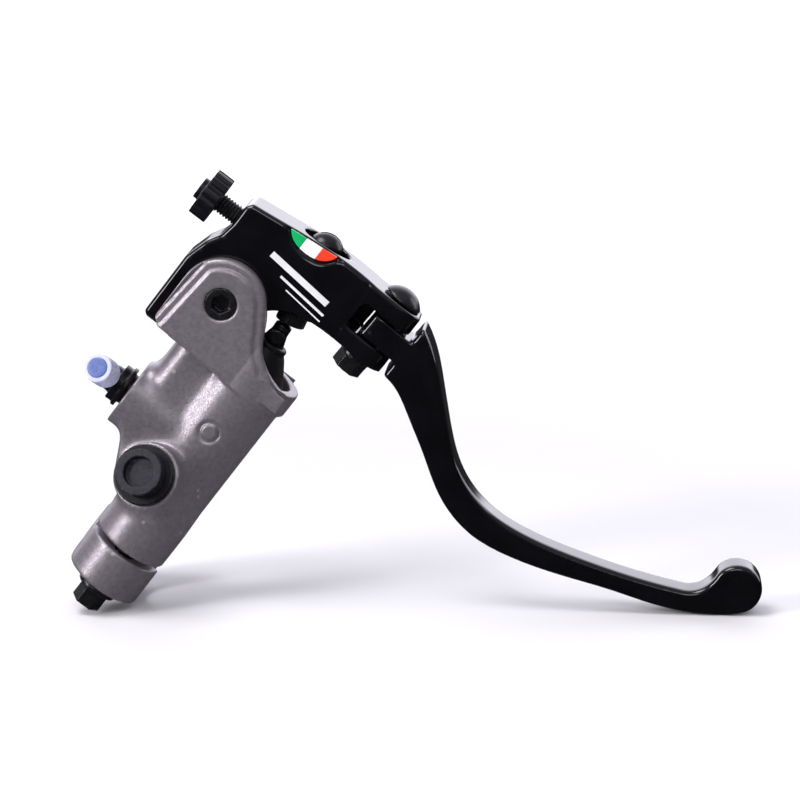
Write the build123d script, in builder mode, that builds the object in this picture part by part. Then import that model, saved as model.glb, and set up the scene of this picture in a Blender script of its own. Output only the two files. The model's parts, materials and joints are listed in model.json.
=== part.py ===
from build123d import *
from math import asin, cos, radians, sin
import os

os.makedirs("parts", exist_ok=True)

# Radial brake master cylinder with a folding lever, for a 22.2 mm handlebar.
# It is drawn in a bench frame: origin on the lever pivot at mid thickness, +X along the handlebar
# towards the lever tip, +Z along the cylinder bore towards the lever, -Y towards the face that is
# on top when it is mounted. stand() then moves the origin to the middle of the handlebar clamp and
# tips the assembly until the clamp bolts and the lever tip both rest on level ground.

# ---------------------------------------------------------------- driving dimensions, mm
REST_TILT = 37.3                # bench frame to resting frame, about Y
BORE_X = 20.0                   # pivot to bore axis, the interaxis that sets the lever ratio
BORE_R = 7.5                    # 15 mm bore
BARREL_R = 13.0
BARREL_END_Z = -62.5
MOUTH_Z = -10.9                 # rim of the boot's mouth
MOUTH_R = 11.2
COLLAR_R = 14.3
COLLAR_BASE_Z = -18.7
NECK_X = -3.8                   # left side of the neck below the ears
BORE_END_Z = -60.0
PISTON_CUP_Z = -25.4            # centre of the pushrod's ball in the piston
PUSHROD_X = 18.6                # pushrod pivot, with the selector turned to its shorter ratio

EAR_IN = 8.9                    # half gap between the ears
EAR_OUT = 13.2
EAR_R = 13.0
PIVOT_R = 4.0

BAR_R = 11.1                    # 22.2 mm handlebar
CLAMP_X = 21.3
CLAMP_Z = -75.0
CLAMP_WIDTH = 23.2
CLAMP_LENGTH = 43.8
SPLIT_GAP = 1.5
CLAMP_BOLT_Y = 15.7
BOLT_SEAT_Z = -88.2
CAP_R = 16.3

RESERVOIR_Z = -40.5
RESERVOIR_BOSS_R = 10.8
RESERVOIR_FACE_X = -6.0
SPIGOT_HOLE_R = 5.0

PORT_DIR = (-0.348, -0.907, 0.240)   # outlet port axis, also the hose nipple's direction
PORT_Z = -57.6
PORT_FACE = 20.6                # bore axis to the outlet's seat face
PORT_R = 4.5                    # core of an M10 x 1 thread

BASE_HALF = 8.5                 # half thickness of the lever base
SLOT_HALF = 5.0                 # slot for the rocker
CROWN_SLOT_HALF = 5.4           # opening in the crown, for the selector's head
CROWN_SLOT_LENGTH = 15.2        # room for the head over the reach screw's travel
ROCKER_HALF = 4.6
SCREW_Z = 20.8                  # reach screw axis
SELECTOR_TOP = (14.1, 0, 30.1)
SELECTOR_LEAN = 11.5            # degrees off the bore direction

FOLD_X = 40.7                   # fold axis where it crosses the fork slot
FOLD_Z = 20.2
FOLD_TILT = 3.0
FORK_SLOT = 8.4
TONGUE = 7.6
TONGUE_HALF = 6.4
SLOT_END = 8.5                  # fold axis to the slot's blind end
SLOT_CORNER_R = 1.2             # clear of the tongue's corners as they swing round
SLOT_BEVEL = 0.7
TONGUE_NEAR = 7.9               # the tongue is flush with the blade on the near face
PRONG_R = 8.5

BENCH = Location((0, 0, 0), (0, REST_TILT, 0)) * Location((-CLAMP_X, 0, -CLAMP_Z))


def stand(piece, name):
    """Stand a finished piece in the resting frame, label it and write it."""
    piece.part = BENCH * piece.part
    piece.part.label = name
    export_step(piece.part, f"parts/{name}.step")


def side(w):
    """Plane parallel to the lever's faces, w mm towards the upper face. Sketch axes are X and Z."""
    return Plane.XZ.offset(w)


def bore_plane(z):
    """Plane across the cylinder bore at height z, centred on the bore."""
    return Plane(origin=(BORE_X, 0, z), x_dir=(1, 0, 0), z_dir=(0, 0, 1))


PUSHROD_LEAN = (BORE_X - PUSHROD_X) / -PISTON_CUP_Z
PUSHROD_LENGTH = ((BORE_X - PUSHROD_X) ** 2 + PISTON_CUP_Z**2) ** 0.5
TOP_R = 4.3                     # round top of the pushrod about its pivot
PUSHROD = Plane(origin=(PUSHROD_X, 0, 0), x_dir=(1, 0, PUSHROD_LEAN), z_dir=(-PUSHROD_LEAN, 0, 1))
BORE_SECTION = Plane(origin=(BORE_X, 0, 0), x_dir=(1, 0, 0), z_dir=(0, -1, 0))
PORT = Plane(origin=(BORE_X, 0, PORT_Z), z_dir=PORT_DIR)
SELECTOR = Plane(
    origin=SELECTOR_TOP,
    x_dir=(cos(radians(SELECTOR_LEAN)), 0, sin(radians(SELECTOR_LEAN))),
    z_dir=(-sin(radians(SELECTOR_LEAN)), 0, cos(radians(SELECTOR_LEAN))),
)
FOLD = Plane(
    origin=(FOLD_X, 0, FOLD_Z),
    x_dir=(cos(radians(FOLD_TILT)), 0, -sin(radians(FOLD_TILT))),
    z_dir=(sin(radians(FOLD_TILT)), 0, cos(radians(FOLD_TILT))),
)
FOLD_END = Plane(origin=FOLD.origin, x_dir=FOLD.z_dir, z_dir=-FOLD.x_dir)
FOLD_SIDE = Plane(origin=FOLD.origin, x_dir=FOLD.x_dir, z_dir=(0, -1, 0))


def ring(plane, outer, inner, depth):
    """Flat ring on a plane, added to the part being built."""
    with BuildSketch(plane) as section:
        Circle(outer)
        Circle(inner, mode=Mode.SUBTRACT)
    extrude(section.sketch, amount=depth)


def disc(plane, radius, depth, mode=Mode.ADD):
    """Round pad, pin or hole on a plane."""
    with BuildSketch(plane) as section:
        Circle(radius)
    extrude(section.sketch, amount=depth, mode=mode)


def hexagon(plane, across_flats, depth, mode=Mode.ADD):
    """Hexagonal pad or socket on a plane."""
    with BuildSketch(plane) as section:
        RegularPolygon(across_flats / 2, 6, major_radius=False)
    extrude(section.sketch, amount=depth, mode=mode)


def dome_mid(radius, base, height):
    """Middle point of a spherical dome's outline, for a dome of this rim radius and height."""
    ball = (radius**2 + height**2) / (2 * height)
    half = asin(radius / ball) / 2
    return (ball * sin(half), base + height - ball + ball * cos(half))


def turned(points, mode=Mode.ADD):
    """Solid of revolution about the cylinder bore, from (radius, height) points."""
    with BuildSketch(BORE_SECTION) as section:
        with BuildLine():
            Polyline(points, close=True)
        make_face()
    revolve(section.sketch, axis=Axis(BORE_SECTION.origin, BORE_SECTION.y_dir), mode=mode)


# ---------------------------------------------------------------- master cylinder casting
def ear_outline(w, inset=0.0):
    """Side outline of the ears and collar at w, drawn inset mm inside the real edge."""
    r = EAR_R - inset
    tangent = 32.0
    with BuildSketch(side(w)) as outline:
        with BuildLine():
            head = CenterArc((0, 0), r, tangent, 180 - tangent)
            left = Line(head @ 1, (-r, -14.6))
            right = BORE_X + COLLAR_R - inset
            corner = Polyline(left @ 1, (-r + 2.2, -16.6 + inset), (right, COLLAR_BASE_Z + inset))
            end = Line(corner @ 1, (right, MOUTH_Z))
            rim = Line(end @ 1, (28.0 - inset, -10.2))
            Spline(rim @ 1, (22.0 - inset, -7.2), (17.6 - inset, -3.6), (15.2 - inset, 0.4), head @ 0)
        make_face()
    return outline.sketch


with BuildPart() as body:
    with BuildSketch(Plane.XY):
        with Locations((BORE_X, 0)):
            Circle(COLLAR_R)
        with Locations((4, 0)):
            Rectangle(36, 2 * EAR_OUT)
    extrude(amount=40, both=True)
    extrude(ear_outline(0), amount=20, both=True, mode=Mode.INTERSECT)
    extrude(ear_outline(EAR_OUT, inset=2.4), amount=0.5)
    extrude(ear_outline(-EAR_OUT, inset=2.4), amount=-0.5)
    # gap for the lever, open all the way down the left side
    with BuildSketch(Plane.XY.offset(MOUTH_Z)):
        with Locations((0, 0)):
            Rectangle(100, 2 * EAR_IN)
    extrude(amount=60, mode=Mode.SUBTRACT)
    with BuildSketch(Plane.XY.offset(-40)):
        with Locations((NECK_X, 0)):
            Rectangle(40, 2 * EAR_IN, align=(Align.MAX, Align.CENTER))
    extrude(amount=60, mode=Mode.SUBTRACT)
    # the far ear is narrower, so the boot can be seen and reached from that side
    with BuildSketch(side(-EAR_IN + 0.1)):
        with BuildLine():
            edge = Spline((11.2, 4), (11.9, -0.4), (14.6, -5.0), (19.0, -9.0), (25.0, MOUTH_Z))
            Polyline(edge @ 1, (40, MOUTH_Z), (40, 16), (11.2, 16), edge @ 0)
        make_face()
    extrude(amount=-20, mode=Mode.SUBTRACT)
    # barrel, neck under the ears and the reservoir boss
    disc(bore_plane(BARREL_END_Z), BARREL_R, COLLAR_BASE_Z + 2 - BARREL_END_Z)
    with BuildSketch(Plane.XY.offset(-45)):
        with Locations((NECK_X, 0)):
            RectangleRounded(24.4, 2 * EAR_IN, 6, align=(Align.MIN, Align.CENTER))
    extrude(amount=45 - 12.5)
    with BuildSketch(side(-9)):
        with BuildLine():
            Polyline(
                [(NECK_X, -46), (0.3, -51.4), (4.8, -60.6), (6.4, BARREL_END_Z), (24, BARREL_END_Z),
                 (24, -46)],
                close=True,
            )
        make_face()
    extrude(amount=18)
    with BuildSketch(Plane.YZ.offset(RESERVOIR_FACE_X)):
        with Locations((0, RESERVOIR_Z)):
            Circle(RESERVOIR_BOSS_R)
    extrude(amount=BORE_X - RESERVOIR_FACE_X)
    # clamp half and its shoulder
    with BuildSketch(Plane.XY.offset(CLAMP_Z + SPLIT_GAP / 2)):
        with Locations((CLAMP_X, 0)):
            SlotOverall(CLAMP_LENGTH, CLAMP_WIDTH, rotation=90)
    extrude(amount=12)
    with BuildSketch(Plane.XY.offset(CLAMP_Z + SPLIT_GAP / 2 + 12)):
        with Locations((CLAMP_X, 0)):
            SlotOverall(CLAMP_LENGTH, CLAMP_WIDTH, rotation=90)
    with BuildSketch(Plane.XY.offset(-49.5)):
        with Locations((CLAMP_X - 0.3, 0)):
            SlotOverall(25.6, CLAMP_WIDTH, rotation=90)
    loft()
    # outlet boss
    disc(PORT, 10.0, PORT_FACE)
    # bores
    with BuildSketch(Plane.YZ):
        with Locations((0, CLAMP_Z)):
            Circle(BAR_R)
    extrude(amount=60, mode=Mode.SUBTRACT)
    turned(
        [(0, 5), (MOUTH_R, 5), (MOUTH_R, -16.6), (9.6, -16.6), (9.6, -19.2), (BORE_R, -19.2),
         (BORE_R, -20.2), (8.3, -20.2), (8.3, -21.3), (BORE_R, -21.3), (BORE_R, BORE_END_Z), (0, BORE_END_Z)],
        mode=Mode.SUBTRACT,
    )
    disc(side(-30), PIVOT_R, 60, Mode.SUBTRACT)
    disc(side(EAR_OUT - 2.4), 4.7, 5, Mode.SUBTRACT)
    with BuildSketch(Plane.YZ.offset(RESERVOIR_FACE_X - 1)):
        with Locations((0, RESERVOIR_Z)):
            Circle(SPIGOT_HOLE_R)
    extrude(amount=9, mode=Mode.SUBTRACT)
    with BuildSketch(Plane.YZ.offset(RESERVOIR_FACE_X)):
        with Locations((0, RESERVOIR_Z)):
            Circle(1.2)
    extrude(amount=20, mode=Mode.SUBTRACT)
    disc(PORT, 1.6, PORT_FACE, Mode.SUBTRACT)
    disc(PORT.offset(PORT_FACE - 11.5), PORT_R, 12, Mode.SUBTRACT)
    disc(PORT.offset(PORT_FACE - 1.5), 5.3, 3, Mode.SUBTRACT)
    for y in (-CLAMP_BOLT_Y, CLAMP_BOLT_Y):
        disc(Plane(origin=(CLAMP_X, y, CLAMP_Z), z_dir=(0, 0, 1)), 3.01, 14.5, Mode.SUBTRACT)

# ---------------------------------------------------------------- handlebar clamp cap and its bolts
with BuildPart() as clamp_cap:
    with BuildSketch(Plane.XY.offset(CLAMP_Z - SPLIT_GAP / 2)):
        with Locations((CLAMP_X, 0)):
            SlotOverall(CLAMP_LENGTH, CLAMP_WIDTH, rotation=90)
    extrude(amount=-20)
    with BuildSketch(Plane.YZ):
        with Locations((0, CLAMP_Z)):
            Circle(CAP_R)
        with Locations((0, BOLT_SEAT_Z)):
            Rectangle(60, 30, align=(Align.CENTER, Align.MIN))
    extrude(amount=60, mode=Mode.INTERSECT)
    with BuildSketch(Plane.YZ):
        with Locations((0, CLAMP_Z)):
            Circle(BAR_R)
    extrude(amount=60, mode=Mode.SUBTRACT)
    for y in (-CLAMP_BOLT_Y, CLAMP_BOLT_Y):
        disc(Plane(origin=(CLAMP_X, y, CLAMP_Z), z_dir=(0, 0, -1)), 3.3, 20, Mode.SUBTRACT)
    low_edges = clamp_cap.edges().filter_by(lambda e: e.center().Z < BOLT_SEAT_Z - 2.0 and e.length > 5)
    fillet(low_edges, 1.5)

with BuildPart() as clamp_bolts:
    for y in (-CLAMP_BOLT_Y, CLAMP_BOLT_Y):
        seat = Plane(origin=(CLAMP_X, y, BOLT_SEAT_Z), z_dir=(0, 0, -1))
        disc(seat, 6.2, 1.5)
        hexagon(seat.offset(1.5), 8.0, 5.8)
        disc(seat.offset(6.6), 2.6, 1.0, Mode.SUBTRACT)
        disc(Plane(origin=(CLAMP_X, y, BOLT_SEAT_Z), z_dir=(0, 0, 1)), 3.0, 24)

# ---------------------------------------------------------------- lever pivot
with BuildPart() as pivot_bolt:
    disc(side(EAR_OUT - 2.4), 4.6, 2.6)
    disc(side(-EAR_OUT - 5.0), 3.0, 5.0)
    disc(side(-EAR_OUT), 3.95, 2 * EAR_OUT - 2.4)
    hexagon(side(EAR_OUT + 0.2 - 2.8), 4.9, 2.8, Mode.SUBTRACT)

with BuildPart() as pivot_nut:
    ring(side(-EAR_OUT - 0.5), 5.6, 3.05, -0.6)
    hexagon(side(-EAR_OUT - 1.1), 10.0, -3.9)
    disc(side(-EAR_OUT - 0.5), 3.02, -5, Mode.SUBTRACT)

with BuildPart() as rocker_bush:
    ring(side(-ROCKER_HALF), 5.0, 4.02, 2 * ROCKER_HALF)

with BuildPart() as base_bushes:
    for w in (-BASE_HALF, SLOT_HALF + 0.1):
        ring(side(w), 5.0, 4.02, BASE_HALF - SLOT_HALF - 0.1)

# ---------------------------------------------------------------- hydraulics inside the bore
with BuildPart() as piston:
    turned(
        [(0, -22.6), (7.44, -22.6), (7.44, -27.5), (5.6, -27.5), (5.6, -30.5), (7.44, -30.5), (7.44, -32.5),
         (5.8, -33.4), (5.8, -38.0), (7.44, -38.9), (7.44, -40.5), (5.6, -40.5), (5.6, -43.5), (7.44, -43.5),
         (7.44, -45.0), (4.2, -45.0), (3.8, -48.0), (0, -48.0)]
    )
    turned([(0, -20), (3.8, -20), (3.8, PISTON_CUP_Z), (0, PISTON_CUP_Z)], mode=Mode.SUBTRACT)
    with Locations((BORE_X, 0, PISTON_CUP_Z)):
        Sphere(3.8, mode=Mode.SUBTRACT)

with BuildPart() as primary_cup:
    turned([(5.6, -40.5), (7.0, -40.5), (7.46, -43.0), (7.46, -43.5), (5.6, -43.5)])

with BuildPart() as secondary_seal:
    turned([(5.6, -27.5), (7.46, -27.5), (7.46, -28.2), (7.0, -30.5), (5.6, -30.5)])

SPRING_R = 5.3
WIRE_R = 0.6
with BuildPart() as return_spring:
    with BuildLine(bore_plane(BORE_END_Z + WIRE_R)):
        coil = Helix(pitch=2.6, height=13.0, radius=SPRING_R)
    with BuildSketch(Plane(origin=coil @ 0, z_dir=coil % 0)):
        Circle(WIRE_R)
    sweep()

with BuildPart() as stop_washer:
    ring(bore_plane(-22.4), 7.4, 4.0, 1.0)

with BuildPart() as circlip:
    with BuildSketch(bore_plane(-21.2)):
        Circle(8.2)
        Circle(6.4, mode=Mode.SUBTRACT)
        with Locations((0, -7.3)):
            Rectangle(4.0, 4.0, mode=Mode.SUBTRACT)
    extrude(amount=0.9)

with BuildPart() as pushrod:
    with BuildSketch(Plane(origin=PUSHROD.origin, x_dir=PUSHROD.x_dir, z_dir=(0, -1, 0))):
        with BuildLine():
            rod = Polyline(
                (0, -PUSHROD_LENGTH), (2.55, -PUSHROD_LENGTH), (2.55, -5.0), (3.4, -3.8), (3.4, -1.8),
                (2.6, 1.0), (2.6, (TOP_R**2 - 2.6**2) ** 0.5),
            )
            crown = ThreePointArc(rod @ 1, (1.4, (TOP_R**2 - 1.4**2) ** 0.5), (0, TOP_R))
            Line(crown @ 1, rod @ 0)
        make_face()
    revolve(axis=Axis(PUSHROD.origin, PUSHROD.z_dir))
    with BuildSketch(side(-4.3)):
        with Locations((PUSHROD_X, 0)):
            Circle(2.2)
    extrude(amount=8.6)
    with Locations((BORE_X, 0, PISTON_CUP_Z)):
        Sphere(3.3)

BOOT_SEAT_Z = -13.4
BOOT_TOP_Z = -2.4
BOOT_TOP_X = PUSHROD_X - BOOT_TOP_Z * PUSHROD_LEAN


def boot_cone(top_r, top_z, seat_r, mode=Mode.ADD):
    """Leaning cone from the boot's seat in the mouth up to the pushrod."""
    with BuildSketch(Plane(origin=(BORE_X, 0, BOOT_SEAT_Z))) as low:
        Circle(seat_r)
    with BuildSketch(Plane(origin=(BOOT_TOP_X, 0, top_z))) as high:
        Circle(top_r)
    loft([low.sketch.face(), high.sketch.face()], mode=mode)


with BuildPart() as dust_boot:
    boot_cone(5.1, BOOT_TOP_Z, 10.6)
    boot_cone(4.0, BOOT_TOP_Z - 1.4, 9.4, Mode.SUBTRACT)
    ring(bore_plane(BOOT_SEAT_Z - 3.0), 11.1, 8.4, 3.2)
    disc(PUSHROD.offset(-5), 3.52, 10, Mode.SUBTRACT)

# ---------------------------------------------------------------- rocker and ratio selector
with BuildPart() as rocker:
    with BuildSketch(side(-ROCKER_HALF)):
        Circle(8.6)
        with BuildLine():
            Polyline(
                [(-3.4, 5), (-3.4, 23.4), (-2.4, 24.4), (3.0, 24.6), (21.0, 24.2), (24.0, 9.6), (13.6, 7.4),
                 (6.0, -4.0)],
                close=True,
            )
        make_face()
        with Locations((8.6, 16.6)):
            Circle(3.6, mode=Mode.SUBTRACT)
        Circle(5.02, mode=Mode.SUBTRACT)
    extrude(amount=2 * ROCKER_HALF)
    disc(SELECTOR.offset(5), 3.56, -27, Mode.SUBTRACT)
    disc(SELECTOR.offset(-21.8), 5.2, -12, Mode.SUBTRACT)

with BuildPart() as ratio_selector:
    with BuildSketch(Plane(origin=SELECTOR.origin, x_dir=SELECTOR.x_dir, z_dir=(0, -1, 0))):
        with BuildLine():
            shaft = Polyline(
                (0, -25.6), (4.5, -25.6), (4.5, -22.0), (3.5, -22.0), (3.5, 0), (4.95, 0), (4.95, 0.5)
            )
            dome = ThreePointArc(shaft @ 1, dome_mid(4.95, 0.5, 3.0), (0, 3.5))
            Line(dome @ 1, shaft @ 0)
        make_face()
    revolve(axis=Axis(SELECTOR.origin, SELECTOR.z_dir))
    with BuildSketch(SELECTOR.offset(3.6)):
        Rectangle(6.4, 1.2)
    extrude(amount=-1.4, mode=Mode.SUBTRACT)

# ---------------------------------------------------------------- lever base
def badge_edge(drop):
    """Lower edge of the badge, or of its pocket when dropped and widened."""
    return Spline(
        (3.1 - drop, 29.0), (5.5 - drop, 26.9 - drop), (10.5, 25.9 - drop), (15.0 + drop, 26.8 - drop),
        (18.3 + drop, 30.4),
    )


def fork_slot(plane, grow):
    """Outline of the fork's slot for the blade's tongue, grown all round."""
    with BuildSketch(plane) as outline:
        with Locations((-SLOT_END - grow, 0)):
            Rectangle(30, FORK_SLOT + 2 * grow, align=(Align.MIN, Align.CENTER))
        fillet(outline.vertices().sort_by(Axis.X)[:2], SLOT_CORNER_R + grow)
    return outline.sketch


with BuildPart() as lever_base:
    with BuildSketch(side(-BASE_HALF)):
        with BuildLine():
            heel = Polyline(
                (-10.0, -17.4), (-15.2, -17.4), (-16.4, -16.2), (-16.4, 4.0), (-14.4, 10.8), (-12.0, 15.0)
            )
            nose = Polyline(heel @ 1, (-11.2, 19.7), (-11.2, 26.0), (-9.8, 27.9))
            crown = Spline(nose @ 1, (1.6, 29.3), (17.6, 30.9), (25.4, 31.0), (33.0, 30.5))
            prong = Polyline(crown @ 1, (48.4, 30.2), (48.4, 9.7), (31.8, 10.7))
            Spline(prong @ 1, (22.8, 10.3), (15.3, 7.9), (11.0, 4.3), (9.4, 0))
            seat = CenterArc((0, 0), 9.4, 0, -100)
            Polyline(seat @ 1, (-10.0, -8.0), heel @ 0)
        make_face()
    extrude(amount=2 * BASE_HALF)
    chamfer(lever_base.edges().filter_by(GeomType.LINE).filter_by(Plane.XZ), 0.9)
    # slot for the rocker, open below, and the selector's opening in the crown
    with BuildSketch(Plane.XY.offset(-30)):
        with Locations((-5.6, 0)):
            Rectangle(32.2, 2 * SLOT_HALF, align=(Align.MIN, Align.CENTER))
    extrude(amount=56.2, mode=Mode.SUBTRACT)
    with BuildSketch(Plane.XY.offset(-30)):
        with Locations((-12.4, 0)):
            Rectangle(20, 2 * SLOT_HALF, align=(Align.MIN, Align.CENTER))
    extrude(amount=43, mode=Mode.SUBTRACT)
    with BuildSketch(Plane.XY.offset(20)):
        with Locations((SELECTOR_TOP[0], 0)):
            SlotOverall(CROWN_SLOT_LENGTH, 2 * CROWN_SLOT_HALF)
    extrude(amount=20, mode=Mode.SUBTRACT)
    # fork slot and rounded prong ends
    extrude(fork_slot(FOLD_SIDE.offset(-20), 0), amount=40, mode=Mode.SUBTRACT)
    near_face = FOLD_SIDE.offset(BASE_HALF)
    extrude(fork_slot(near_face, SLOT_BEVEL), amount=-SLOT_BEVEL, taper=45, mode=Mode.SUBTRACT)
    # stop behind the tongue, which closes the slot's far half
    with BuildSketch(FOLD_SIDE.offset(-BASE_HALF)):
        with Locations((-SLOT_END - 0.5, 0)):
            Rectangle(SLOT_END - 3.6, FORK_SLOT + 1, align=(Align.MIN, Align.CENTER))
    extrude(amount=BASE_HALF - 3.3)
    with BuildSketch(FOLD.offset(-25)):
        Rectangle(30, 40, align=(Align.MIN, Align.CENTER))
        Circle(PRONG_R, mode=Mode.SUBTRACT)
    extrude(amount=50, mode=Mode.SUBTRACT)
    disc(FOLD.offset(-25), 3.02, 50, Mode.SUBTRACT)
    disc(side(-20), 5.02, 40, Mode.SUBTRACT)
    with BuildSketch(Plane.YZ.offset(-20)):
        with Locations((0, SCREW_Z)):
            Circle(3.05)
    extrude(amount=20, mode=Mode.SUBTRACT)
    # groove across the faces where the fork starts
    for w in (BASE_HALF, -BASE_HALF):
        with BuildSketch(side(w)):
            with Locations((31.0, 20)):
                Rectangle(0.9, 30, rotation=5)
        extrude(amount=0.5, both=True, mode=Mode.SUBTRACT)
    # pocket for the badge
    with BuildSketch(side(BASE_HALF - 0.6)):
        with BuildLine():
            rim = badge_edge(0.2)
            Polyline(rim @ 1, (18.5, 33.0), (2.9, 33.0), rim @ 0)
        make_face()
    extrude(amount=2, mode=Mode.SUBTRACT)
    disc(FOLD_END.offset(SLOT_END - 0.05), 1.5, 5.6, Mode.SUBTRACT)

BADGE_EDGES = (3.1, 8.2, 13.5, 18.3)
badge_bands = []
for index in range(3):
    with BuildPart() as band:
        with BuildSketch(side(BASE_HALF - 0.6)):
            with BuildLine():
                rim = badge_edge(0)
                Polyline(rim @ 1, (18.3, 30.7), (3.1, 29.2), rim @ 0)
            make_face()
            with Locations(((BADGE_EDGES[index] + BADGE_EDGES[index + 1]) / 2, 28)):
                Rectangle(BADGE_EDGES[index + 1] - BADGE_EDGES[index], 20, mode=Mode.INTERSECT)
        extrude(amount=0.8)
    badge_bands.append(band)

# ---------------------------------------------------------------- reach screw and knob
KNOB_IN = -18.1
KNOB_OUT = -23.6
with BuildPart() as reach_screw:
    with BuildSketch(Plane.YZ.offset(KNOB_IN)):
        with Locations((0, SCREW_Z)):
            Circle(2.6)
    extrude(amount=-3.7 - KNOB_IN)
    for turn in range(13):
        with BuildSketch(Plane.YZ.offset(KNOB_IN + 0.3 + turn)):
            with Locations((0, SCREW_Z)):
                Circle(3.0)
        extrude(amount=0.5)

with BuildPart() as adjuster_knob:
    with BuildSketch(Plane.YZ.offset(KNOB_OUT)):
        with Locations((0, SCREW_Z)):
            Circle(7.5)
        with Locations((0, SCREW_Z)):
            with PolarLocations(7.85, 12):
                Circle(1.0, mode=Mode.SUBTRACT)
    extrude(amount=KNOB_IN - KNOB_OUT)
    with BuildSketch(Plane.YZ.offset(KNOB_OUT)):
        with Locations((0, SCREW_Z)):
            Circle(3.4)
    extrude(amount=-1.6)

# ---------------------------------------------------------------- fold pivot
with BuildPart() as fold_bolt:
    with BuildSketch(FOLD_SIDE):
        with BuildLine():
            shank = Polyline(
                (0, -16.5), (2.5, -16.5), (2.5, -10.3), (2.95, -10.3), (2.95, 10.4), (5.9, 10.4), (5.9, 11.0)
            )
            dome = ThreePointArc(shank @ 1, dome_mid(5.9, 11.0, 3.1), (0, 14.1))
            Line(dome @ 1, shank @ 0)
        make_face()
    revolve(axis=Axis(FOLD.origin, FOLD.z_dir))

with BuildPart() as fold_nut:
    ring(FOLD.offset(-10.4), 5.0, 2.52, -1.2)
    hexagon(FOLD.offset(-11.6), 8.4, -4.4)
    disc(FOLD.offset(-10), 2.52, -8, Mode.SUBTRACT)

with BuildPart() as fold_bush:
    ring(FOLD.offset(-TONGUE / 2), 3.9, 3.0, TONGUE)

with BuildPart() as detent_pin:
    disc(FOLD_END.offset(SLOT_END - 0.05), 1.5, 2.6)

# ---------------------------------------------------------------- lever blade
with BuildPart() as lever_blade:
    with BuildSketch(side(-9)):
        with BuildLine():
            upper = Spline(
                (50.5, 29.1), (57.3, 25.1), (66.1, 17.4), (74.9, 9.1), (84.6, 1.6), (98.0, -2.7),
                (111.8, -1.8), (129.9, 3.0), (144.3, 8.0), (157.5, 13.6),
            )
            neck = Spline(upper @ 1, (161.2, 16.8), (162.6, 22.3), tangents=(upper % 1, (0, 1)))
            ball = ThreePointArc(neck @ 1, (171.5, 30.7), (174.7, 18.1))
            lower = Spline(
                ball @ 1, (167.5, 12.1), (153.4, 4.7), (141.2, 0.4), (127.2, -5.1), (112.6, -9.9),
                (99.0, -11.8), (83.8, -7.7), (73.1, -0.9), (62.4, 5.7), (55.4, 9.6), (49.5, 10.9),
            )
            Line(lower @ 1, upper @ 0)
        make_face()
    extrude(amount=18)
    with BuildSketch(Plane.XY.offset(-30)):
        with BuildLine():
            Polyline(
                [(40, 8.2), (58, 8.0), (104, 5.5), (190, 5.5), (190, -5.5), (104, -5.5), (58, -8.0),
                 (40, -8.2)],
                close=True,
            )
        make_face()
    extrude(amount=80, mode=Mode.INTERSECT)
    fillet(lever_blade.edges().filter_by(lambda e: abs(e.center().Y) > 4.5), 1.6)
    with BuildSketch(FOLD_SIDE.offset(-TONGUE_HALF)):
        with Locations((0, 0)):
            Rectangle(11.0, TONGUE, align=(Align.MIN, Align.CENTER))
    extrude(amount=TONGUE_HALF + TONGUE_NEAR)
    with BuildSketch(FOLD.offset(-TONGUE / 2)):
        Circle(TONGUE_NEAR)
        with Locations((0, (TONGUE_HALF - TONGUE_NEAR) / 2)):
            Rectangle(3.7, TONGUE_HALF + TONGUE_NEAR, align=(Align.MAX, Align.CENTER), mode=Mode.INTERSECT)
    extrude(amount=TONGUE)
    disc(FOLD.offset(-20), 3.92, 40, Mode.SUBTRACT)

# ---------------------------------------------------------------- reservoir elbow and its cap
ELBOW_X = RESERVOIR_FACE_X - 5.4
NIPPLE = Plane(origin=(ELBOW_X, 0, RESERVOIR_Z), z_dir=PORT_DIR)
INLET = Plane(origin=(0, 0, RESERVOIR_Z), x_dir=(0, 1, 0), z_dir=(1, 0, 0))
with BuildPart() as reservoir_elbow:
    disc(INLET.offset(ELBOW_X), 4.2, 8.0)
    disc(INLET.offset(RESERVOIR_FACE_X - 4.6), 5.8, 1.9)
    disc(INLET.offset(RESERVOIR_FACE_X - 2.2), 6.5, 1.2)
    disc(INLET.offset(RESERVOIR_FACE_X - 1.5), 4.92, 4.4)
    disc(INLET.offset(RESERVOIR_FACE_X + 2.9), 3.4, 2.0)
    disc(INLET.offset(RESERVOIR_FACE_X + 4.9), 4.92, 2.4)
    with Locations((ELBOW_X, 0, RESERVOIR_Z)):
        Sphere(4.2)
    disc(NIPPLE, 3.0, 14.6)
    for step in (10.6, 13.2):
        disc(NIPPLE.offset(step), 3.3, 1.0)
    disc(NIPPLE, 1.6, 20, Mode.SUBTRACT)
    disc(INLET.offset(ELBOW_X), 1.6, 20, Mode.SUBTRACT)

with BuildPart() as elbow_o_ring:
    ring(INLET.offset(RESERVOIR_FACE_X + 2.95), 4.98, 3.42, 1.9)

with BuildPart() as nipple_cap:
    disc(NIPPLE.offset(7.6), 4.3, 8.8)
    disc(NIPPLE.offset(7.6), 3.45, 7.4, Mode.SUBTRACT)

# ---------------------------------------------------------------- outlet transit plug
with BuildPart() as outlet_plug:
    ring(PORT.offset(PORT_FACE + 2.6), 6.85, 4.5, 4.6)
    disc(PORT.offset(PORT_FACE + 2.6), 6.85, 1.8)
    disc(PORT.offset(PORT_FACE - 1.4), 5.2, 6.6)

with BuildPart() as outlet_plug_flange:
    ring(PORT.offset(PORT_FACE + 0.1), 8.95, 5.22, 2.5)

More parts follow.
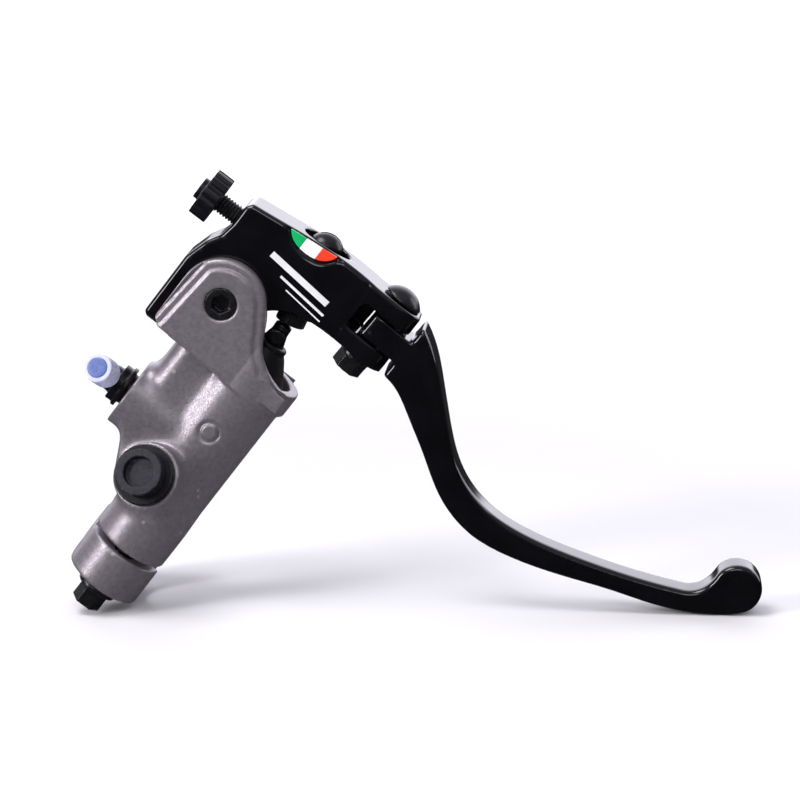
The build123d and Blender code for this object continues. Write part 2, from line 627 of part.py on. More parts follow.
stand(body, "master_body")
stand(clamp_cap, "clamp_cap")
stand(clamp_bolts, "clamp_bolts")
stand(pivot_bolt, "pivot_bolt")
stand(pivot_nut, "pivot_nut")
stand(rocker_bush, "rocker_bush")
stand(base_bushes, "base_bushes")
stand(piston, "piston")
stand(primary_cup, "primary_cup")
stand(secondary_seal, "secondary_seal")
stand(return_spring, "return_spring")
stand(stop_washer, "stop_washer")
stand(circlip, "circlip")
stand(pushrod, "pushrod")
stand(dust_boot, "dust_boot")
stand(rocker, "rocker")
stand(ratio_selector, "ratio_selector")
stand(lever_base, "lever_base")
for band, name in zip(badge_bands, ("badge_band_left", "badge_band_middle", "badge_band_right")):
    stand(band, name)
stand(reach_screw, "reach_screw")
stand(adjuster_knob, "adjuster_knob")
stand(fold_bolt, "fold_bolt")
stand(fold_nut, "fold_nut")
stand(fold_bush, "fold_bush")
stand(detent_pin, "detent_pin")
stand(lever_blade, "lever_blade")
stand(reservoir_elbow, "reservoir_elbow")
stand(elbow_o_ring, "elbow_o_ring")
stand(nipple_cap, "nipple_cap")
stand(outlet_plug, "outlet_plug")
stand(outlet_plug_flange, "outlet_plug_flange")
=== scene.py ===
import json
from math import cos, radians, sin, tau

import bmesh
import bpy
import numpy as np
from mathutils import Matrix, Vector


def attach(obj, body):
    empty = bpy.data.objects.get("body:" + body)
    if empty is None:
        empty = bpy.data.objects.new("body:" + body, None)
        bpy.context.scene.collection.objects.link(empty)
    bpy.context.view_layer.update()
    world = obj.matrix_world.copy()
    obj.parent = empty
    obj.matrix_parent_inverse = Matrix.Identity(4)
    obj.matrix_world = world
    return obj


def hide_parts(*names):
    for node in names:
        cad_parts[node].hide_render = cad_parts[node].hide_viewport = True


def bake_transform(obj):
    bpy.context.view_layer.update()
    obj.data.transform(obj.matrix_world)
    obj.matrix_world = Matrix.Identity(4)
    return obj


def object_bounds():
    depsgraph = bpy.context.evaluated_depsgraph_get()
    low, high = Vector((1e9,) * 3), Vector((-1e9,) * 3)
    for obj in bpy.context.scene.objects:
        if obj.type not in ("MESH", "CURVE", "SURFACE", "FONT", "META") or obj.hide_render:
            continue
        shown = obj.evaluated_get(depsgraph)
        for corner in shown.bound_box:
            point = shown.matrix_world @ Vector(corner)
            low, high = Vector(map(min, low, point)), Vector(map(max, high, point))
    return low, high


# Radial brake master cylinder with a folding lever, resting on its clamp and its lever tip.
# Shapes are worked out in a bench frame in millimetres: origin on the lever pivot, +X along the
# handlebar towards the lever tip, +Z along the cylinder bore towards the lever, -Y towards the
# printed face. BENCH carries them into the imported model's frame, in metres.

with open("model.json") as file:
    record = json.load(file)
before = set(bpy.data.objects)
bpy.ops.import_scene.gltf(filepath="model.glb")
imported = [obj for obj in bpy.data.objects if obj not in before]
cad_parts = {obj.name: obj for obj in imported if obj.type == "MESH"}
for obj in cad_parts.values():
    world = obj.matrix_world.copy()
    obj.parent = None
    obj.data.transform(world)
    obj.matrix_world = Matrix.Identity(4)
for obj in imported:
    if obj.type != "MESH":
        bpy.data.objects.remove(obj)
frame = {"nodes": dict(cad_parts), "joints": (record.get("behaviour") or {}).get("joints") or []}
cad_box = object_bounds()
nodes = frame["nodes"]
joints = {joint["name"]: joint for joint in frame["joints"]}

MM = 0.001
BORE_X = 20.0
BORE = -Vector(joints["piston_slide"]["axis"])
PIVOT = Vector(joints["lever_squeeze"]["pos_m"])
ACROSS = Vector((0, 1, 0)).cross(BORE)
TURN = Matrix((ACROSS, Vector((0, 1, 0)), BORE)).transposed().to_4x4()
BENCH = Matrix.Translation(PIVOT) @ TURN @ Matrix.Scale(MM, 4)
TO_BENCH = BENCH.inverted()
FLOOR_Z = cad_box[0].z


# ---------------------------------------------------------------- materials
def node_tree(name):
    made = bpy.data.materials.new(name)
    made.use_nodes = True
    shader = made.node_tree.nodes["Principled BSDF"]
    return made, made.node_tree, shader


def add(tree, kind, **settings):
    """New node; settings name its properties or, with a leading in_, its input sockets."""
    node = tree.nodes.new(kind)
    for key, value in settings.items():
        if key.startswith("in_"):
            node.inputs[key[3:].replace("_", " ")].default_value = value
        else:
            setattr(node, key, value)
    return node


def noise(tree, coordinates, grain, detail=3.0):
    """Noise whose features are about grain metres across."""
    node = add(tree, "ShaderNodeTexNoise", in_Scale=1 / grain, in_Detail=detail)
    tree.links.new(coordinates, node.inputs["Vector"])
    return node.outputs["Fac"]


def ramp(tree, factor, low, high, dark, light):
    node = add(tree, "ShaderNodeMapRange")
    node.inputs["From Min"].default_value = low
    node.inputs["From Max"].default_value = high
    node.inputs["To Min"].default_value = dark
    node.inputs["To Max"].default_value = light
    tree.links.new(factor, node.inputs["Value"])
    return node.outputs["Result"]


def mixed(tree, factor, first, second):
    """Colour mix; first and second are colours or sockets."""
    node = add(tree, "ShaderNodeMix", data_type="RGBA")
    tree.links.new(factor, node.inputs["Factor"])
    sockets = {socket.identifier: socket for socket in node.inputs}
    for value, identifier in ((first, "A_Color"), (second, "B_Color")):
        if isinstance(value, tuple):
            sockets[identifier].default_value = (*value, 1)
        else:
            tree.links.new(value, sockets[identifier])
    return next(output for output in node.outputs if output.identifier == "Result_Color")


def finish(name, colour, second, roughness, metallic=0.0, grain=0.4e-3, patch=6e-3, bump=0.2,
           rough_spread=0.08, edge_highlight=None, specular=0.5, coat=0.0, detail=3.0):
    """Procedural material: mottled colour, uneven roughness, grain bump and a painted highlight on convex
    edges.
    """
    made, tree, shader = node_tree(name)
    position = add(tree, "ShaderNodeTexCoord").outputs["Object"]
    shader.inputs["Metallic"].default_value = metallic
    shader.inputs["Specular IOR Level"].default_value = specular
    shader.inputs["Coat Weight"].default_value = coat
    shader.inputs["Coat Roughness"].default_value = 0.12
    mottle = ramp(tree, noise(tree, position, patch, detail), 0.35, 0.65, 0.0, 1.0)
    shade = mixed(tree, mottle, colour, second)
    # painted highlight: convex edges, found by Pointiness, take the lighter edge colour
    if edge_highlight:
        convex = add(tree, "ShaderNodeNewGeometry").outputs["Pointiness"]
        shade = mixed(tree, ramp(tree, convex, 0.535, 0.61, 0.0, 1.0), shade, edge_highlight)
    tree.links.new(shade, shader.inputs["Base Color"])
    fine = noise(tree, position, grain, detail)
    tree.links.new(
        ramp(tree, fine, 0.3, 0.7, roughness - rough_spread, roughness + rough_spread),
        shader.inputs["Roughness"],
    )
    if bump:
        relief = add(tree, "ShaderNodeBump", in_Strength=bump, in_Distance=0.1e-3)
        tree.links.new(fine, relief.inputs["Height"])
        tree.links.new(relief.outputs["Normal"], shader.inputs["Normal"])
    return made


# the edge colours given to these materials are painted highlights on convex edges
CAST = finish("cast_titanium_grey", (0.25, 0.227, 0.254), (0.205, 0.186, 0.209), 0.36, metallic=0.55,
              grain=0.42e-3, patch=1.3e-3, bump=0.55, edge_highlight=(0.42, 0.39, 0.42), rough_spread=0.10)
GLOSS = finish("gloss_black", (0.0022, 0.0020, 0.0030), (0.0034, 0.0032, 0.0046), 0.13, grain=0.5e-3,
               patch=9e-3, bump=0.03, rough_spread=0.03, edge_highlight=(0.012, 0.012, 0.015), specular=0.5)
STEEL_BLACK = finish("black_zinc_steel", (0.007, 0.007, 0.009), (0.012, 0.012, 0.014), 0.28, metallic=0.3,
                     grain=0.35e-3, patch=2e-3, bump=0.25, edge_highlight=(0.06, 0.06, 0.07))
PLASTIC_BLACK = finish("black_plastic", (0.003, 0.003, 0.005), (0.005, 0.005, 0.008), 0.34,
                       grain=0.25e-3, patch=2e-3, bump=0.35, edge_highlight=(0.012, 0.012, 0.016), specular=0.28)
RUBBER = finish("dusty_rubber", (0.005, 0.005, 0.007), (0.010, 0.010, 0.012), 0.46, grain=0.3e-3,
                patch=1.5e-3, bump=0.3, specular=0.28)
BRIGHT = finish("bright_steel", (0.60, 0.60, 0.62), (0.52, 0.52, 0.54), 0.24, metallic=1.0, grain=0.2e-3,
                patch=3e-3, bump=0.1)
# painted shade: a darkened copy of the bright steel, for steel that sits in shade
SHADOWED_STEEL = finish("painted_shade_steel", (0.05, 0.05, 0.055), (0.03, 0.03, 0.034), 0.35, metallic=0.9,
                        grain=0.3e-3, patch=2e-3, bump=0.15)
BRONZE = finish("sintered_bronze", (0.42, 0.25, 0.10), (0.34, 0.19, 0.08), 0.4, metallic=1.0,
                grain=0.15e-3, patch=1e-3, bump=0.5)
# the plug's lighter edge colour is a painted highlight on its convex edges
PLUG = finish("recycled_plug_plastic", (0.005, 0.005, 0.010), (0.016, 0.016, 0.027), 0.5, grain=0.45e-3,
              patch=0.9e-3, bump=1.0, edge_highlight=(0.08, 0.08, 0.11), specular=0.3)
GREEN = finish("enamel_green", (0.0, 0.42, 0.12), (0.0, 0.38, 0.11), 0.22, bump=0.02, coat=0.6)
WHITE = finish("enamel_white", (0.86, 0.86, 0.87), (0.80, 0.80, 0.81), 0.22, bump=0.02, coat=0.6)
RED = finish("enamel_red", (0.82, 0.045, 0.012), (0.76, 0.04, 0.012), 0.22, bump=0.02, coat=0.6)
PRINT = finish("print_white", (0.74, 0.75, 0.76), (0.66, 0.67, 0.68), 0.5, bump=0.1, grain=0.3e-3)

CAP = finish("cap_milky", (0.58, 0.60, 0.78), (0.48, 0.51, 0.74), 0.26, grain=0.8e-3, patch=2.5e-3,
             bump=0.08, coat=0.4)
CAP_CORE = finish("cap_blue", (0.10, 0.15, 0.38), (0.07, 0.11, 0.30), 0.35, grain=0.35e-3, patch=0.7e-3,
                  bump=0.5, coat=0.3)


# ---------------------------------------------------------------- mesh helpers
def new_object(name, data):
    made = bpy.data.objects.new(name, data)
    bpy.context.scene.collection.objects.link(made)
    return made


def place(piece, body, slot, material, *replaced):
    """Carry a bench-frame mesh into the model's frame and hang it on its body."""
    piece.data.transform(BENCH)
    piece.data.shade_smooth()
    piece.data.materials.clear()
    piece.data.materials.append(material)
    if replaced:
        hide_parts(*replaced)
    if body:
        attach(piece, body)
    return piece


def evaluated(piece):
    """Replace the piece's mesh with the result of its modifiers."""
    graph = bpy.context.evaluated_depsgraph_get()
    made = bpy.data.meshes.new_from_object(piece.evaluated_get(graph))
    piece.modifiers.clear()
    piece.data = made


def voxelised(name, node, voxel):
    """Even quad skin over a CAD node, in the bench frame, with voxel mm between its points."""
    piece = new_object(name, nodes[node].data.copy())
    piece.data.transform(TO_BENCH)
    skin = bmesh.new()
    skin.from_mesh(piece.data)
    bmesh.ops.remove_doubles(skin, verts=skin.verts, dist=1e-3)
    skin.to_mesh(piece.data)
    skin.free()
    piece.data.materials.clear()
    remesh = piece.modifiers.new("skin", "REMESH")
    remesh.mode = "VOXEL"
    remesh.voxel_size = voxel
    evaluated(piece)
    return piece


def points_of(piece):
    points = np.empty(len(piece.data.vertices) * 3)
    piece.data.vertices.foreach_get("co", points)
    return points.reshape(-1, 3)


def edges_of(piece):
    ends = np.empty(len(piece.data.edges) * 2, int)
    piece.data.edges.foreach_get("vertices", ends)
    return ends.reshape(-1, 2)


def normals_of(piece):
    normals = np.empty(len(piece.data.vertices) * 3)
    piece.data.vertex_normals.foreach_get("vector", normals)
    return normals.reshape(-1, 3)


def set_points(piece, points):
    piece.data.vertices.foreach_set("co", points.astype(np.float32).ravel())
    piece.data.update()


def pull(points, ends, count):
    """From each point to the mean of its neighbours."""
    total = np.zeros_like(points)
    for axis in range(3):
        total[:, axis] = np.bincount(ends[:, 0], points[ends[:, 1], axis], len(points))
        total[:, axis] += np.bincount(ends[:, 1], points[ends[:, 0], axis], len(points))
    return total / count[:, None] - points


def soften(piece, rounds, weight=None, fill_only=False):
    """Round the edges; with fill_only, only inside corners fill, as a cast blend does."""
    points = points_of(piece)
    ends = edges_of(piece)
    count = np.maximum(np.bincount(ends.ravel(), minlength=len(points)), 1)
    for turn in range(rounds):
        step = pull(points, ends, count) * 0.5
        if fill_only:
            if turn % 10 == 0:
                set_points(piece, points)
                normals = normals_of(piece)
            step *= np.where((step * normals).sum(1) > 0, 1.0, 0.12)[:, None]
        if weight is not None:
            step *= weight[:, None]
        points += step
    set_points(piece, points)


def refined(name, node, body, slot, material, voxel, rounds):
    """Softened skin that stands for one CAD node."""
    piece = voxelised(name, node, voxel)
    soften(piece, rounds)
    return place(piece, body, slot, material, node)


def distance_to_axis(points, origin, direction):
    direction = Vector(direction).normalized()
    reach = points - np.array(origin)
    along = reach @ np.array(direction)
    return np.linalg.norm(reach - np.outer(along, direction), axis=1), along


def distance_to_path(points, path):
    """Distance in the X-Z plane from each point to an open path of (x, z) points."""
    flat = points[:, [0, 2]]
    best = np.full(len(points), 1e9)
    for start, end in zip(path[:-1], path[1:]):
        start, end = np.array(start), np.array(end)
        leg = end - start
        share = np.clip((flat - start) @ leg / (leg @ leg), 0, 1)
        best = np.minimum(best, np.linalg.norm(flat - start - share[:, None] * leg, axis=1))
    return best


def smooth_path(points, steps=8):
    """Catmull-Rom path through the points."""
    padded = [points[0], *points, points[-1]]
    path = []
    for a, b, c, d in zip(padded, padded[1:], padded[2:], padded[3:]):
        a, b, c, d = (np.array(p, float) for p in (a, b, c, d))
        for t in np.linspace(0, 1, steps, endpoint=False):
            path.append(
                0.5 * (2 * b + (c - a) * t + (2 * a - 5 * b + 4 * c - d) * t**2
                       + (3 * b - a - 3 * c + d) * t**3)
            )
    path.append(np.array(points[-1], float))
    return path


def bell(distance, width):
    """1 at no distance, falling smoothly to 0 at width."""
    share = np.clip(1 - distance / width, 0, 1)
    return share * share * (3 - 2 * share)


def grid_mesh(name, rows):
    """Closed tube of quads from rows of points, all rows the same length, with capped ends."""
    count = len(rows[0])
    points = [p for row in rows for p in row]
    faces = []
    for r in range(len(rows) - 1):
        for c in range(count):
            d = (c + 1) % count
            faces.append((r * count + c, r * count + d, (r + 1) * count + d, (r + 1) * count + c))
    faces.append(tuple(reversed(range(count))))
    faces.append(tuple((len(rows) - 1) * count + c for c in range(count)))
    mesh = bpy.data.meshes.new(name)
    mesh.from_pydata([tuple(p) for p in points], [], faces)
    skin = bmesh.new()
    skin.from_mesh(mesh)
    bmesh.ops.recalc_face_normals(skin, faces=skin.faces)
    skin.to_mesh(mesh)
    skin.free()
    return new_object(name, mesh)


# ---------------------------------------------------------------- cast cylinder body
PORT_DIR = Vector((-0.348, -0.907, 0.240)).normalized()
PORT = (BORE_X, 0, -57.6)
RESERVOIR = (-6.0, 0, -40.5)
CLAMP = (21.3, 0, -75.0)
CLEAR_R = 11.9                # machined round the bore and round the handlebar
BORE_FLOOR_Z = -62
FORK_HALF = 9.1               # half the gap between the ears
FORK_FLOOR_Z = -13
PIVOT_CLEAR_R = 6
SEAT_CLEAR_R = 6.5            # round the reservoir spigot and the hose port's thread
SPIGOT_DEPTH = 14
SEAT_SKIN = 0.4
PORT_SEAT = 19.8
PORT_BOSS_R = 12
CLAMP_JOINT_GAP = 1.6
COLLAR_FOOT_Z = -19.2


def body_fill(points):
    """Where the casting's inside corners are filled: everywhere but its machined faces."""
    weight = np.ones(len(points))
    to_bore, height = distance_to_axis(points, (BORE_X, 0, 0), (0, 0, 1))
    weight[(to_bore < CLEAR_R) & (height > BORE_FLOOR_Z)] = 0
    weight[(np.abs(points[:, 1]) < FORK_HALF) & (points[:, 2] > FORK_FLOOR_Z)] = 0
    to_pivot, _ = distance_to_axis(points, (0, 0, 0), (0, 1, 0))
    weight[to_pivot < PIVOT_CLEAR_R] = 0
    to_inlet, inlet = distance_to_axis(points, RESERVOIR, (1, 0, 0))
    weight[(to_inlet < SEAT_CLEAR_R) & (inlet < SPIGOT_DEPTH)] = 0
    weight[inlet < SEAT_SKIN] = 0
    to_port, port = distance_to_axis(points, PORT, PORT_DIR)
    weight[(to_port < SEAT_CLEAR_R) & (port > 0)] = 0
    weight[(port > PORT_SEAT) & (to_port < PORT_BOSS_R)] = 0
    to_bar, _ = distance_to_axis(points, CLAMP, (1, 0, 0))
    weight[to_bar < CLEAR_R] = 0
    weight[points[:, 2] < CLAMP[2] + CLAMP_JOINT_GAP] = 0
    weight *= np.clip((COLLAR_FOOT_Z - points[:, 2]) / 2.0, 0, 1)
    return weight


cast_body = voxelised("cast_body", "master_body", 0.42)
soften(cast_body, 2)
soften(cast_body, 170, body_fill(points_of(cast_body)), fill_only=True)
soften(cast_body, 2)
skin = points_of(cast_body)
skin_normals = normals_of(cast_body)

# near ear: rounded rim, flat band, then a raised plateau
EAR_R = 13.0
EAR_HEAD = [(EAR_R * cos(radians(a)), EAR_R * sin(radians(a))) for a in range(148, 31, -6)]
EAR_HEEL = (-EAR_R, -14.6)
EAR_FRONT = smooth_path([(11.0, 6.9), (15.2, 0.4), (17.6, -3.6), (22.0, -7.2)])
EAR_EDGE = [EAR_HEEL] + EAR_HEAD + EAR_FRONT
EAR_FOOT = [EAR_HEEL, (-10.8, -16.6), (24.0, -18.2)]
RIM_R = 1.3
BAND = 2.3                    # flat step between the rim and the plateau
STEP_WIDTH = 1.2
PLATEAU_RISE = 0.75
PLATEAU_Y = 13.7
COLLAR_R = 14.3
EAR_INSIDE_Y = -10.8
EAR_FOOT_Z = -16.9
EAR_END_X = 26.0
EAR_FADE = 6                  # the ear's shape dies away over this length into the collar
HEAD_RECESS_R = 5.4
near_ear = (skin[:, 1] < EAR_INSIDE_Y) & (skin[:, 2] > EAR_FOOT_Z)
ear_share = near_ear * np.clip((EAR_END_X - skin[:, 0]) / EAR_FADE, 0, 1)
from_rim = distance_to_path(skin, EAR_EDGE)
from_edge = np.minimum(from_rim, distance_to_path(skin, EAR_FOOT) + 0.4)
plateau = np.clip((from_rim - BAND) / STEP_WIDTH, 0, 1)
plateau = plateau * plateau * (3 - 2 * plateau)
rounding = RIM_R - np.sqrt(RIM_R**2 - np.clip(RIM_R - from_edge, 0, RIM_R) ** 2)
collar = np.sqrt(np.maximum(COLLAR_R**2 - (skin[:, 0] - BORE_X) ** 2, 0))
shaped = PLATEAU_RISE * (1 - plateau) - np.maximum(PLATEAU_Y, collar) + rounding
facing = skin_normals[:, 1] < -0.4
shaped = np.where(facing, shaped, np.maximum(skin[:, 1], shaped))
in_recess = distance_to_axis(skin, (0, 0, 0), (0, 1, 0))[0] < HEAD_RECESS_R
skin[:, 1] += ear_share * ~in_recess * (shaped - skin[:, 1])

# round dimple ring on the barrel, in place of the foundry's mark
RING_CENTRE = Vector((19.8, -13.0, -32.5))
RING_R = 2.9
RING_HALF_WIDTH = 0.85
RING_DEPTH = 0.7
to_mark, _ = distance_to_axis(skin, RING_CENTRE, (0, -1, 0))
near_mark = np.linalg.norm(skin - np.array(RING_CENTRE), axis=1) < 6
groove = bell(np.abs(to_mark - RING_R), RING_HALF_WIDTH) * near_mark * (skin_normals[:, 1] < -0.5)
skin -= skin_normals * (RING_DEPTH * groove)[:, None]
set_points(cast_body, skin)
soften(cast_body, 1)
place(cast_body, "cylinder", "cast_body", CAST, "master_body")

refined("cast_cap", "clamp_cap", "cylinder", "cast_body", CAST, 0.45, 4)

# ---------------------------------------------------------------- lever base
SCOOP_HALF_WIDTH = 1.7
SCOOP_DEPTH = 0.75
BADGE_EDGE = ((3.1, 29.0), (5.5, 26.9), (10.5, 25.9), (15.0, 26.8), (18.3, 30.4))
base = voxelised("lever_base_body", "lever_base", 0.36)
soften(base, 5)
skin = points_of(base)
scoop_path = smooth_path(((1.2, 30.4),) + BADGE_EDGE + ((20.0, 31.8),))
scoop = bell(np.maximum(distance_to_path(skin, scoop_path) - 0.25, 0), SCOOP_HALF_WIDTH)
skin[:, 1] += np.where(skin[:, 1] < -8.0, SCOOP_DEPTH, 0.0) * scoop
set_points(base, skin)
soften(base, 2)
place(base, "lever_base", "black_anodised", GLOSS, "lever_base")

# ---------------------------------------------------------------- lever blade
blade = voxelised("lever_blade_body", "lever_blade", 0.45)
soften(blade, 5)
place(blade, "lever_blade", "black_anodised", GLOSS, "lever_blade")

# ---------------------------------------------------------------- fasteners and small pieces
SMALL = (
    ("clamp_bolt_pair", "clamp_bolts", "cylinder", "black_steel", STEEL_BLACK, 0.26, 2),
    ("pivot_bolt_head", "pivot_bolt", "cylinder", "black_steel", STEEL_BLACK, 0.22, 2),
    ("pivot_lock_nut", "pivot_nut", "cylinder", "black_steel", STEEL_BLACK, 0.24, 3),
    ("rocker_arm", "rocker", "rocker", "black_anodised", PLASTIC_BLACK, 0.35, 4),
    ("selector_dial", "ratio_selector", "selector", "black_steel", STEEL_BLACK, 0.20, 2),
    ("knob_body", "adjuster_knob", "knob", "black_plastic", PLASTIC_BLACK, 0.20, 6),
    ("fold_bolt_dome", "fold_bolt", "lever_base", "black_steel", STEEL_BLACK, 0.24, 2),
    ("fold_lock_nut", "fold_nut", "lever_base", "black_steel", STEEL_BLACK, 0.22, 3),
    ("pushrod_body", "pushrod", "pushrod", "bright_steel", SHADOWED_STEEL, 0.24, 2),
    ("elbow_body", "reservoir_elbow", "elbow", "black_plastic", PLASTIC_BLACK, 0.22, 2),
    ("plug_body", "outlet_plug", "outlet_plug", "plug_plastic", PLUG, 0.22, 3),
    ("plug_flange", "outlet_plug_flange", "outlet_plug", "plug_plastic", PLASTIC_BLACK, 0.24, 2),
    ("badge_green_enamel", "badge_band_left", "lever_base", "badge_green", GREEN, 0.12, 2),
    ("badge_white_enamel", "badge_band_middle", "lever_base", "badge_white", WHITE, 0.12, 2),
    ("badge_red_enamel", "badge_band_right", "lever_base", "badge_red", RED, 0.12, 2),
)
for name, node, body, slot, material, voxel, rounds in SMALL:
    refined(name, node, body, slot, material, voxel, rounds)

# ---------------------------------------------------------------- reach screw thread
SCREW_Z = 20.8
SCREW_IN = -3.7
SCREW_OUT = -18.1
THREAD_PITCH = 1.0
THREAD_CORE_R = 2.42
THREAD_DEPTH = 0.57
FLANK_SLOPE = 2.3
RINGS_A_TURN = 12
THREAD_CORNERS = 40
rows = []
for step in range(int((SCREW_IN - SCREW_OUT) / THREAD_PITCH * RINGS_A_TURN) + 1):
    x = SCREW_OUT + step * THREAD_PITCH / RINGS_A_TURN
    row = []
    for corner in range(THREAD_CORNERS):
        angle = tau * corner / THREAD_CORNERS
        phase = (x / THREAD_PITCH - angle / tau) % 1
        radius = THREAD_CORE_R + THREAD_DEPTH * min(1.0, FLANK_SLOPE * min(phase, 1 - phase))
        row.append((x, radius * cos(angle), SCREW_Z + radius * sin(angle)))
    rows.append(row)
thread = grid_mesh("reach_screw_thread", rows)
place(thread, "reach_screw", "black_steel", STEEL_BLACK, "reach_screw")

# ---------------------------------------------------------------- dust boot
BOOT_TOP = (18.73, -2.4)
BOOT_SEAT = (BORE_X, -13.4)
BOOT_OUTER = (
    (3.55, -2.5), (4.3, -2.42), (4.9, -2.6), (5.2, -3.1), (5.1, -3.6), (4.9, -4.0), (5.2, -4.5),
    (5.75, -5.2), (6.7, -6.9), (7.7, -8.7), (8.7, -10.6), (9.7, -12.3), (10.5, -13.2), (11.0, -13.5),
    (11.1, -14.2), (11.1, -16.4),
)
BOOT_INNER = (
    (8.4, -16.4), (8.4, -14.2), (8.3, -12.8), (6.6, -9.6), (5.0, -6.6), (4.0, -4.9), (3.55, -4.0),
)
BOOT_CORNERS = 64
rows = []
for radius, height in (*BOOT_OUTER, *BOOT_INNER, BOOT_OUTER[0]):
    rise = min(max((height - BOOT_SEAT[1]) / (BOOT_TOP[1] - BOOT_SEAT[1]), 0), 1)
    middle = BOOT_SEAT[0] + (BOOT_TOP[0] - BOOT_SEAT[0]) * rise
    rows.append([
        (middle + radius * cos(tau * corner / BOOT_CORNERS),
         radius * sin(tau * corner / BOOT_CORNERS),
         height)
        for corner in range(BOOT_CORNERS)
    ])
boot = grid_mesh("dust_boot_rubber", rows)
skin = bmesh.new()
skin.from_mesh(boot.data)
caps = [face for face in skin.faces if len(face.verts) > 4]
bmesh.ops.delete(skin, geom=caps, context="FACES_ONLY")
bmesh.ops.remove_doubles(skin, verts=skin.verts, dist=1e-4)
bmesh.ops.recalc_face_normals(skin, faces=skin.faces)
skin.to_mesh(boot.data)
skin.free()
smoothing = boot.modifiers.new("smooth", "SUBSURF")
smoothing.levels = 1
evaluated(boot)
place(boot, None, "rubber", RUBBER, "dust_boot")
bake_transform(boot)

# ---------------------------------------------------------------- nipple cap
cap = voxelised("nipple_cap_shell", "nipple_cap", 0.22)
soften(cap, 5)
place(cap, "nipple_cap", "cap_plastic", CAP, "nipple_cap")

# blue closure seen through the end of the milky shell
NIPPLE_ROOT = Vector((RESERVOIR[0] - 5.4, 0, RESERVOIR[2]))
CAP_END = 16.4
CORE_PROFILE = ((2.6, -1.0), (3.05, -0.2), (3.0, 0.1), (2.6, 0.2), (1.4, 0.12), (0.3, 0.1))
CORE_CORNERS = 48
nipple_turn = PORT_DIR.to_track_quat("Z", "Y").to_matrix()
rows = []
for radius, past_end in CORE_PROFILE:
    row = []
    for corner in range(CORE_CORNERS):
        angle = tau * corner / CORE_CORNERS
        spoke = Vector((radius * cos(angle), radius * sin(angle), CAP_END + past_end))
        row.append(tuple(NIPPLE_ROOT + nipple_turn @ spoke))
    rows.append(row)
core = grid_mesh("nipple_cap_core", rows)
place(core, "nipple_cap", "cap_plastic", CAP_CORE)

# ---------------------------------------------------------------- printed stripes
PRINT_UNDER_Y = -8.47
PRINT_FACE_Y = -8.54


def stripe(name, path, width):
    """Thin printed stripe on the lever base's near face."""
    rows = []
    for index, point in enumerate(path):
        before = np.array(path[max(index - 1, 0)])
        after = np.array(path[min(index + 1, len(path) - 1)])
        along = (after - before) / np.linalg.norm(after - before)
        across = np.array((-along[1], along[0])) * width / 2
        low, high = np.array(point) - across, np.array(point) + across
        rows.append([
            (low[0], PRINT_UNDER_Y, low[1]), (high[0], PRINT_UNDER_Y, high[1]),
            (high[0], PRINT_FACE_Y, high[1]), (low[0], PRINT_FACE_Y, low[1]),
        ])
    piece = grid_mesh(name, rows)
    place(piece, "lever_base", "badge_white", PRINT)
    piece.data.shade_flat()


STRIPES = (
    ("print_stripe_upper", (2.9, 19.9), (24.3, 17.9), 1.9),
    ("print_stripe_middle", (8.8, 16.2), (25.4, 14.5), 0.75),
    ("print_stripe_lower", (12.4, 13.9), (25.6, 12.5), 0.4),
)
for name, start, end, width in STRIPES:
    start, end = np.array(start), np.array(end)
    stripe(name, [tuple(start + (end - start) * share) for share in (0, 0.5, 1)], width)

# ---------------------------------------------------------------- hidden hydraulics and bushes
for name, material in (
    ("piston", SHADOWED_STEEL), ("primary_cup", RUBBER), ("secondary_seal", RUBBER),
    ("return_spring", BRIGHT), ("stop_washer", BRIGHT), ("circlip", STEEL_BLACK),
    ("rocker_bush", BRONZE), ("base_bushes", BRONZE), ("fold_bush", BRONZE),
    ("detent_pin", BRIGHT), ("elbow_o_ring", RUBBER),
):
    mesh = nodes[name].data
    mesh.materials.clear()
    mesh.materials.append(material)

# ---------------------------------------------------------------- studio
floor_mesh = bpy.data.meshes.new("studio_floor")
REACH = 6.0
floor_mesh.from_pydata(
    [(-REACH, -REACH, 0), (REACH, -REACH, 0), (REACH, REACH, 0), (-REACH, REACH, 0)], [], [(0, 1, 2, 3)],
)
floor = new_object("studio_floor", floor_mesh)
floor.location = (0, 0, FLOOR_Z - 0.05 * MM)
FLOOR_PAINT = finish("studio_floor_white", (0.74, 0.735, 0.75), (0.735, 0.73, 0.745), 0.7, patch=0.3, bump=0,
                     specular=0.1)
floor_mesh.materials.append(FLOOR_PAINT)
# the paper sweeps up behind, so it stays white towards the horizon
SWEEP_START = 0.22
SWEEP_END = 0.9
SWEEP_GLOW = 0.75
paint_tree = FLOOR_PAINT.node_tree
reach_out = add(paint_tree, "ShaderNodeVectorMath", operation="LENGTH")
paint_tree.links.new(
    add(paint_tree, "ShaderNodeTexCoord").outputs["Object"], reach_out.inputs["Vector"])
paint_shader = paint_tree.nodes["Principled BSDF"]
paint_shader.inputs["Emission Color"].default_value = (1.0, 0.99, 1.0, 1)
paint_tree.links.new(
    ramp(paint_tree, reach_out.outputs["Value"], SWEEP_START, SWEEP_END, 0.0, SWEEP_GLOW),
    paint_shader.inputs["Emission Strength"])
floor.visible_glossy = False

world = bpy.data.worlds.new("studio_air")
bpy.context.scene.world = world
world.use_nodes = True
sky_tree = world.node_tree
sky = sky_tree.nodes["Background"]
direction = add(sky_tree, "ShaderNodeSeparateXYZ")
sky_tree.links.new(add(sky_tree, "ShaderNodeTexCoord").outputs["Generated"], direction.inputs["Vector"])


def arithmetic(operation, first, second):
    node = add(sky_tree, "ShaderNodeMath", operation=operation)
    for value, socket in ((first, node.inputs[0]), (second, node.inputs[1])):
        if isinstance(value, (int, float)):
            socket.default_value = value
        else:
            sky_tree.links.new(value, socket)
    return node.outputs["Value"]


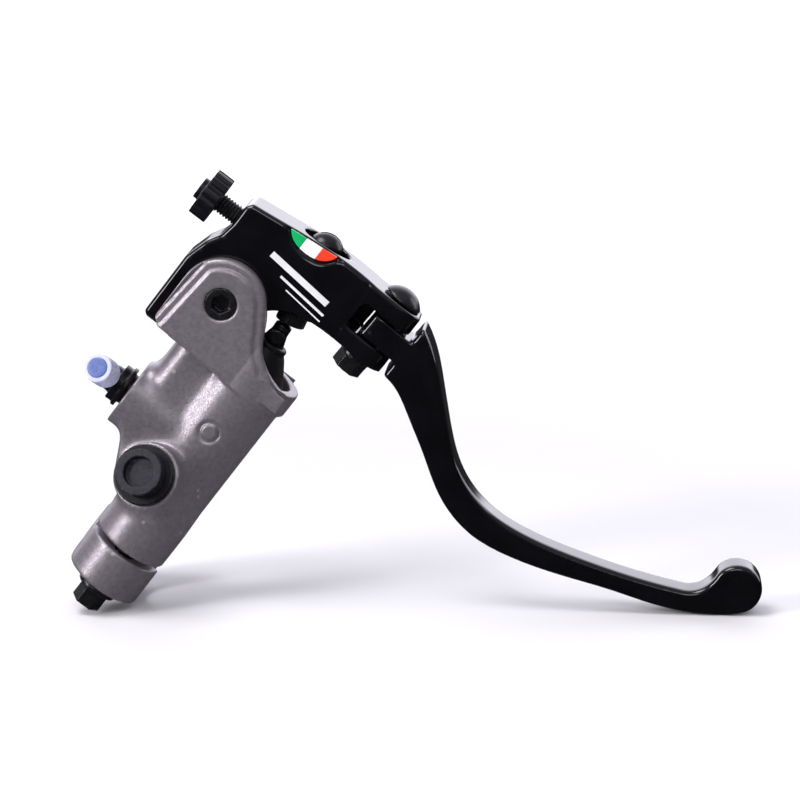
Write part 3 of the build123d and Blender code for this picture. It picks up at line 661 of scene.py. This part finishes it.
overhead = ramp(sky_tree, direction.outputs["Z"], 0.15, 0.85, 0.03, 0.50)
behind = ramp(sky_tree, direction.outputs["Y"], 0.45, 0.85, 0.0, 2.4)
above_floor = ramp(sky_tree, direction.outputs["Z"], -0.01, 0.04, 0.0, 1.0)
sky_tree.links.new(
    arithmetic("ADD", overhead, arithmetic("MULTIPLY", behind, above_floor)), sky.inputs["Strength"])
sky.inputs["Color"].default_value = (0.92, 0.90, 1.0, 1)


def softbox(name, spot, target, size, power, colour=(1, 1, 1)):
    data = bpy.data.lights.new(name, "AREA")
    data.shape = "RECTANGLE"
    data.size, data.size_y = size
    data.energy = power
    data.color = colour
    lamp = new_object(name, data)
    lamp.location = spot
    lamp.rotation_mode = "QUATERNION"
    lamp.rotation_quaternion = (Vector(spot) - Vector(target)).to_track_quat("Z", "Y")


MIDDLE = (0.07, 0.0, 0.03)
softbox("overhead_box", (-0.20, -0.16, 0.82), MIDDLE, (0.45, 0.4), 4.8)
softbox("left_box", (-0.66, -0.50, 0.36), MIDDLE, (0.20, 0.5), 5.5, (1.0, 0.98, 0.98))
softbox("right_box", (0.85, 0.35, 0.30), MIDDLE, (0.25, 0.5), 1.5, (0.94, 0.94, 1.0))
softbox("front_fill", (0.15, -0.85, 0.62), MIDDLE, (0.5, 0.3), 1.8)

# ---------------------------------------------------------------- camera
ELEVATION = radians(13.0)
AZIMUTH = radians(4.5)
DISTANCE = 0.8
TARGET = Vector((0.08017, -0.01558, 0.04601))
back = Vector((sin(AZIMUTH) * cos(ELEVATION), -cos(AZIMUTH) * cos(ELEVATION), sin(ELEVATION)))
camera_data = bpy.data.cameras.new("camera")
camera_data.sensor_width = 36
camera_data.lens = 126
camera = new_object("camera", camera_data)
camera.location = TARGET + back * DISTANCE
camera.rotation_mode = "QUATERNION"
camera.rotation_quaternion = back.to_track_quat("Z", "Y")
camera_data.clip_start = 0.01
camera_data.clip_end = 50
bpy.context.scene.camera = camera
bpy.context.scene.view_settings.view_transform = "Standard"
